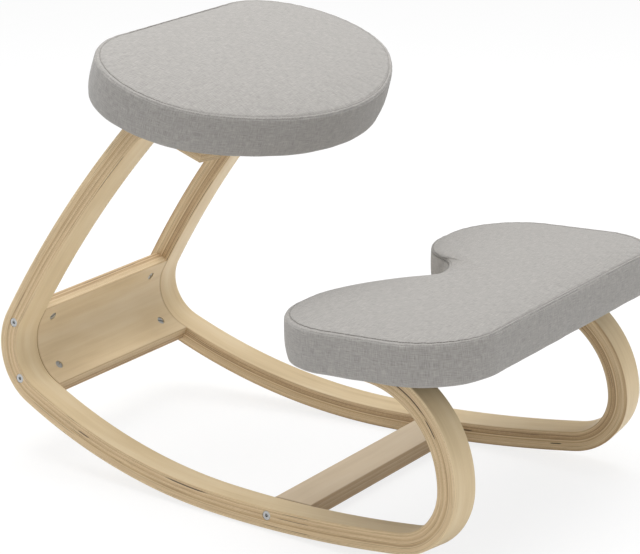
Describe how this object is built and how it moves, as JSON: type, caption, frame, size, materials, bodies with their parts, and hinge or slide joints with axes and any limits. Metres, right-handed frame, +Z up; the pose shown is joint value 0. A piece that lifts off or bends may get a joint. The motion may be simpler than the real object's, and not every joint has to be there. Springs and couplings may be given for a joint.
{
  "type": "rocking kneeling chair",
  "caption": "Kneeling chair on bent plywood rocker runners, with a forward-sloping padded seat and a notched padded knee rest.",
  "frame": {"origin": "On the floor, in the middle of the chair's length and width, below the frame.", "axes": "+Z up, +X across the chair, +Y to the rear: the seat is at the rear and the knee pad at the front."},
  "size_m": [0.5004, 0.6814, 0.5153],
  "materials": {
    "birch_ply": "satin",
    "board_ply": "matte",
    "dowel_beech": "matte",
    "seat_foam": "matte",
    "woven_cover": "matte",
    "underside_cloth": "matte",
    "zinc_steel": "satin"
  },
  "bodies": {
    "root": {"left_runner": "birch_ply", "right_runner": "birch_ply", "rear_plate": "birch_ply", "front_crossbar": "birch_ply", "rear_plate_bolts": "zinc_steel", "rear_plate_barrel_nuts": "zinc_steel", "crossbar_bolts": "zinc_steel", "crossbar_barrel_nuts": "zinc_steel", "crossbar_dowels": "dowel_beech", "seat_board": "board_ply", "seat_foam": "seat_foam", "seat_cover": "woven_cover", "seat_underside_cloth": "underside_cloth", "seat_bolts": "zinc_steel", "seat_washers": "zinc_steel", "seat_tee_nuts": "zinc_steel", "knee_board": "board_ply", "knee_foam": "seat_foam", "knee_cover": "woven_cover", "knee_underside_cloth": "underside_cloth", "knee_bolts": "zinc_steel", "knee_washers": "zinc_steel", "knee_tee_nuts": "zinc_steel"}
  },
  "joints": []
}
